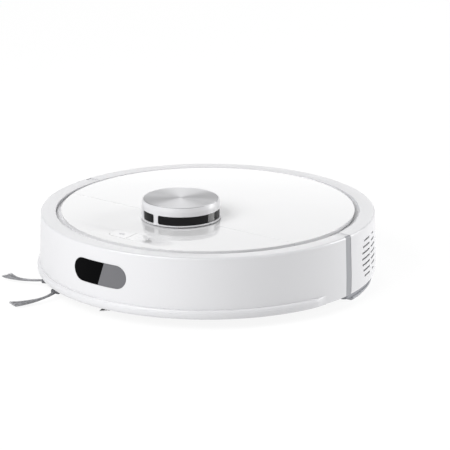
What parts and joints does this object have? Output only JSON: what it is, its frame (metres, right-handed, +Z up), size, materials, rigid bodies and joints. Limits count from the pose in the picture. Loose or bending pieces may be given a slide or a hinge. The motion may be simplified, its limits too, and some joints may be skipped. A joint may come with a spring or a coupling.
{
  "type": "robot vacuum",
  "caption": "Low round robot vacuum and mop with a sprung front bumper, scanning turret, side brush, roller brush, drive wheels, rear dust and water drawer and mop plate.",
  "frame": {"origin": "point on the floor under the centre of the round body", "axes": "+Z up, -Y the way the robot drives (front), +X the robot's left side"},
  "size_m": [0.3514, 0.3762, 0.0972],
  "materials": {
    "white_gloss": "glossy injection-moulded white",
    "white_shell": "satin-gloss moulded white",
    "white_lip": "satin soft-touch white",
    "grey_frame": "fine matt grey",
    "grey_seal": "soft matt grey",
    "black_gloss": "tinted glossy black",
    "grey_window": "satin dark grey",
    "black_window": "infrared-clear glossy black",
    "spun_aluminium": "spun, clear anodised",
    "base_plastic": "fine matt charcoal",
    "inner_plastic": "plain moulded black",
    "button_white": "glossy white with faint printed signs",
    "steel": "bright zinc",
    "contact_metal": "nickel-plated brass",
    "tyre_rubber": "matt rubber tread",
    "fin_rubber": "soft moulded rubber",
    "arm_rubber": "dark grey soft rubber",
    "bristle": "fine nylon bristle",
    "gear_plastic": "natural acetal",
    "motor_steel": "drawn steel can",
    "board_green": "solder-masked board",
    "cell_wrap": "heat-shrink wrap",
    "belt_rubber": "smooth rubber belt",
    "tank_smoke": "smoked translucent",
    "filter_fleece": "pleated fleece",
    "mop_cloth": "speckled microfibre pile",
    "sensor_clear": "dark infrared window"
  },
  "bodies": {
    "chassis": {"chassis_base": "base_plastic", "upper_housing": "grey_frame", "rear_shell": "white_shell", "side_seals": "grey_seal", "top_cover_front": "white_gloss", "top_cover_rear": "white_gloss", "turret_base": "white_shell", "circuit_boards": "board_green", "battery_pack": "cell_wrap", "battery_cover": "base_plastic", "fan_housing": "inner_plastic", "fan_motor": "motor_steel", "brush_motor": "motor_steel", "brush_gearbox": "inner_plastic", "lds_base": "inner_plastic", "lds_motor": "motor_steel", "lds_belt": "belt_rubber", "side_brush_gearbox": "inner_plastic", "speaker": "inner_plastic", "charging_contacts": "contact_metal", "cliff_windows": "sensor_clear", "base_screws": "steel"},
    "bumper": {"bumper_shell": "white_shell", "bumper_lip": "white_lip", "front_window_dark": "black_gloss", "front_window_grey": "grey_window"},
    "turret_top": {"turret_cap": "white_shell", "turret_window": "black_window", "turret_disc": "spun_aluminium"},
    "scanner": {"lds_rotor": "inner_plastic"},
    "scanner_pulley": {"lds_pulley": "gear_plastic"},
    "power_key": {"power_button": "button_white"},
    "dock_key": {"dock_button": "button_white"},
    "left_arm": {"wheel_arm_left": "inner_plastic"},
    "left_wheel": {"wheel_axle_left": "steel", "wheel_hub_left": "grey_frame", "wheel_tyre_left": "tyre_rubber"},
    "right_arm": {"wheel_arm_right": "inner_plastic"},
    "right_wheel": {"wheel_axle_right": "steel", "wheel_hub_right": "grey_frame", "wheel_tyre_right": "tyre_rubber"},
    "caster": {"caster_fork": "inner_plastic"},
    "caster_roller": {"caster_wheel": "tyre_rubber"},
    "main_brush": {"brush_core": "inner_plastic", "brush_fins": "fin_rubber", "brush_gear": "gear_plastic"},
    "idler": {"idler_gear": "gear_plastic"},
    "pinion": {"motor_pinion": "gear_plastic"},
    "brush_frame": {"brush_cover": "base_plastic"},
    "side_brush": {"side_brush_hub": "inner_plastic", "side_brush_arms": "arm_rubber", "side_brush_bristles": "bristle"},
    "impeller": {"fan_impeller": "gear_plastic"},
    "tank": {"dust_tank": "tank_smoke", "tank_lid": "tank_smoke", "tank_rear_panel": "white_shell", "bin_filter": "filter_fleece"},
    "tank_key": {"tank_latch": "white_shell"},
    "mop": {"mop_bracket": "base_plastic", "mop_pad": "mop_cloth"}
  },
  "joints": [
    {"name": "bumper_travel", "type": "slide", "parent": "chassis", "child": "bumper", "axis": [0, 1, 0], "range_m": [0, 0.0035], "stiffness_N_per_m": 600, "springref_m": -0.001, "deforming": ["side_seals"]},
    {"name": "turret_press", "type": "slide", "parent": "chassis", "child": "turret_top", "axis": [0, 0, -1], "range_m": [0, 0.0012], "stiffness_N_per_m": 1500, "springref_m": -0.001},
    {"name": "scanner_spin", "type": "hinge", "parent": "chassis", "child": "scanner", "pos_m": [0, -0.045, 0.07], "axis": [0, 0, 1], "continuous": true},
    {"name": "scanner_pulley_spin", "type": "hinge", "parent": "chassis", "child": "scanner_pulley", "pos_m": [-0.03212, -0.09087, 0.0575], "axis": [0, 0, 1], "continuous": true},
    {"name": "power_press", "type": "slide", "parent": "chassis", "child": "power_key", "axis": [0, 0, -1], "range_m": [0, 0.0005], "stiffness_N_per_m": 800, "springref_m": -0.0005},
    {"name": "dock_press", "type": "slide", "parent": "chassis", "child": "dock_key", "axis": [0, 0, -1], "range_m": [0, 0.0005], "stiffness_N_per_m": 800, "springref_m": -0.0005},
    {"name": "left_droop", "type": "hinge", "parent": "chassis", "child": "left_arm", "pos_m": [0.104, -0.042, 0.038], "axis": [-1, 0, 0], "range_deg": [0, 18], "stiffness_Nm_per_rad": 0.3, "springref_deg": 28.65},
    {"name": "left_wheel_spin", "type": "hinge", "parent": "left_arm", "child": "left_wheel", "pos_m": [0.122, 0, 0.034], "axis": [1, 0, 0], "continuous": true},
    {"name": "right_droop", "type": "hinge", "parent": "chassis", "child": "right_arm", "pos_m": [-0.104, -0.042, 0.038], "axis": [-1, 0, 0], "range_deg": [0, 18], "stiffness_Nm_per_rad": 0.3, "springref_deg": 28.65},
    {"name": "right_wheel_spin", "type": "hinge", "parent": "right_arm", "child": "right_wheel", "pos_m": [-0.122, 0, 0.034], "axis": [1, 0, 0], "continuous": true},
    {"name": "caster_swivel", "type": "hinge", "parent": "chassis", "child": "caster", "pos_m": [0, -0.128, 0.034], "axis": [0, 0, 1], "continuous": true},
    {"name": "caster_roll", "type": "hinge", "parent": "caster", "child": "caster_roller", "pos_m": [0, -0.12, 0.014], "axis": [1, 0, 0], "continuous": true},
    {"name": "main_brush_spin", "type": "hinge", "parent": "chassis", "child": "main_brush", "pos_m": [0, -0.022, 0.0225], "axis": [1, 0, 0], "continuous": true},
    {"name": "idler_spin", "type": "hinge", "parent": "chassis", "child": "idler", "pos_m": [-0.0883, -0.00321, 0.03335], "axis": [1, 0, 0], "continuous": true},
    {"name": "pinion_spin", "type": "hinge", "parent": "chassis", "child": "pinion", "pos_m": [-0.0883, 0.01499, 0.03335], "axis": [1, 0, 0], "continuous": true},
    {"name": "brush_frame_off", "type": "slide", "parent": "chassis", "child": "brush_frame", "axis": [0, 0, -1], "range_m": [0, 0.025]},
    {"name": "side_brush_spin", "type": "hinge", "parent": "chassis", "child": "side_brush", "pos_m": [-0.082, -0.117, 0.007], "axis": [0, 0, 1], "continuous": true, "deforming": ["side_brush_bristles"]},
    {"name": "fan_spin", "type": "hinge", "parent": "chassis", "child": "impeller", "pos_m": [0.122, 0.068, 0.0435], "axis": [1, 0, 0], "continuous": true},
    {"name": "tank_slide", "type": "slide", "parent": "chassis", "child": "tank", "axis": [0, 1, 0], "range_m": [0, 0.13]},
    {"name": "tank_latch_press", "type": "slide", "parent": "tank", "child": "tank_key", "axis": [0, -1, 0], "range_m": [0, 0.002], "stiffness_N_per_m": 500, "springref_m": -0.001},
    {"name": "mop_slide", "type": "slide", "parent": "chassis", "child": "mop", "axis": [0, 1, 0], "range_m": [0, 0.15]}
  ],
  "couplings": [
    {"joint": "scanner_pulley_spin", "follows": "scanner_spin", "ratio": 4.5821},
    {"joint": "idler_spin", "follows": "main_brush_spin", "ratio": -0.55},
    {"joint": "pinion_spin", "follows": "main_brush_spin", "ratio": 1.8333}
  ]
}
